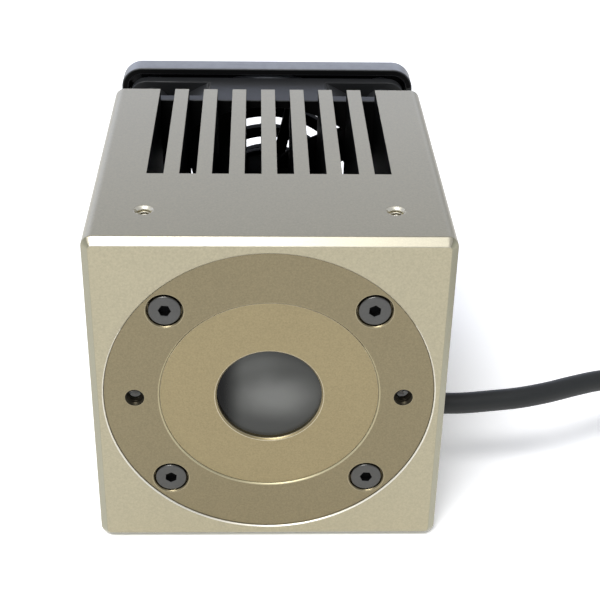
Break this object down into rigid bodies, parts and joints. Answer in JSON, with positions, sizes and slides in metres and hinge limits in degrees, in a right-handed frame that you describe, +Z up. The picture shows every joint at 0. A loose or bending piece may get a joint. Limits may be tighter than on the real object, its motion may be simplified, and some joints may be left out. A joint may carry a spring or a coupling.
{
  "type": "cooled astronomy camera",
  "caption": "Square cooled camera head for a telescope: finned metal block, round front flange with a windowed aperture, rear cooling fan with guard, and a captive lead in a tied coil.",
  "frame": {"origin": "on the standing surface, under the middle of the camera without its lead", "axes": "+X to the viewer's right, front face towards -Y so that the optical axis runs along Y, +Z up"},
  "size_m": [0.177, 0.0853, 0.065],
  "materials": {
    "body": "bead-blasted, champagne anodised",
    "flange": "fine-turned, olive-bronze anodised",
    "disc": "fine-turned, khaki anodised",
    "window_glass": "clear, coated",
    "sensor_glass": "clear",
    "black_rubber": "matt",
    "jacket": "soft satin jacket",
    "black_plastic": "moulded, satin",
    "fan_plastic": "moulded, satin",
    "white_plastic": "moulded",
    "black_metal": "black anodised",
    "dark_steel": "black oxide",
    "bare_steel": "ground",
    "brass": "turned",
    "copper": "copper",
    "ceramic": "ceramic",
    "white_ceramic": "ceramic",
    "silicon": "polished",
    "pellet": "matt",
    "board": "solder mask",
    "red_wire": "insulated wire",
    "magnet": "moulded magnet"
  },
  "bodies": {
    "camera": {"body_block": "body", "front_flange": "flange", "aperture_disc": "disc", "window": "window_glass", "window_seal": "black_rubber", "window_retainer": "black_metal", "flange_seal": "black_rubber", "flange_screws": "dark_steel", "sensor_package": "ceramic", "sensor_die": "silicon", "sensor_glass": "sensor_glass", "sensor_board": "board", "board_connector": "white_plastic", "board_standoffs": "brass", "board_screws": "bare_steel", "cold_finger": "copper", "cooler_plates": "white_ceramic", "cooler_pellets": "pellet", "cooler_leads": "red_wire", "cable_bush": "black_rubber", "cable_tail": "jacket", "cable": "jacket", "cable_coil": "jacket", "cable_end": "jacket", "coil_tie": "black_plastic", "plug_grip": "black_rubber", "plug_shell": "bare_steel", "plug_insert": "black_plastic", "plug_pins": "brass", "fan_frame": "fan_plastic", "fan_bearings": "brass", "bearing_cap": "black_plastic", "fan_stator": "bare_steel", "stator_coils": "copper", "fan_board": "board", "fan_leads": "red_wire", "fan_guard": "black_plastic", "fan_screws": "dark_steel"},
    "rotor": {"fan_rotor": "fan_plastic", "rotor_yoke": "bare_steel", "rotor_magnet": "magnet", "fan_shaft": "bare_steel", "shaft_clip": "bare_steel"}
  },
  "joints": [
    {"name": "fan_spin", "type": "hinge", "parent": "camera", "child": "rotor", "pos_m": [0, 0.0305, 0.0325], "axis": [0, 1, 0], "continuous": true}
  ]
}
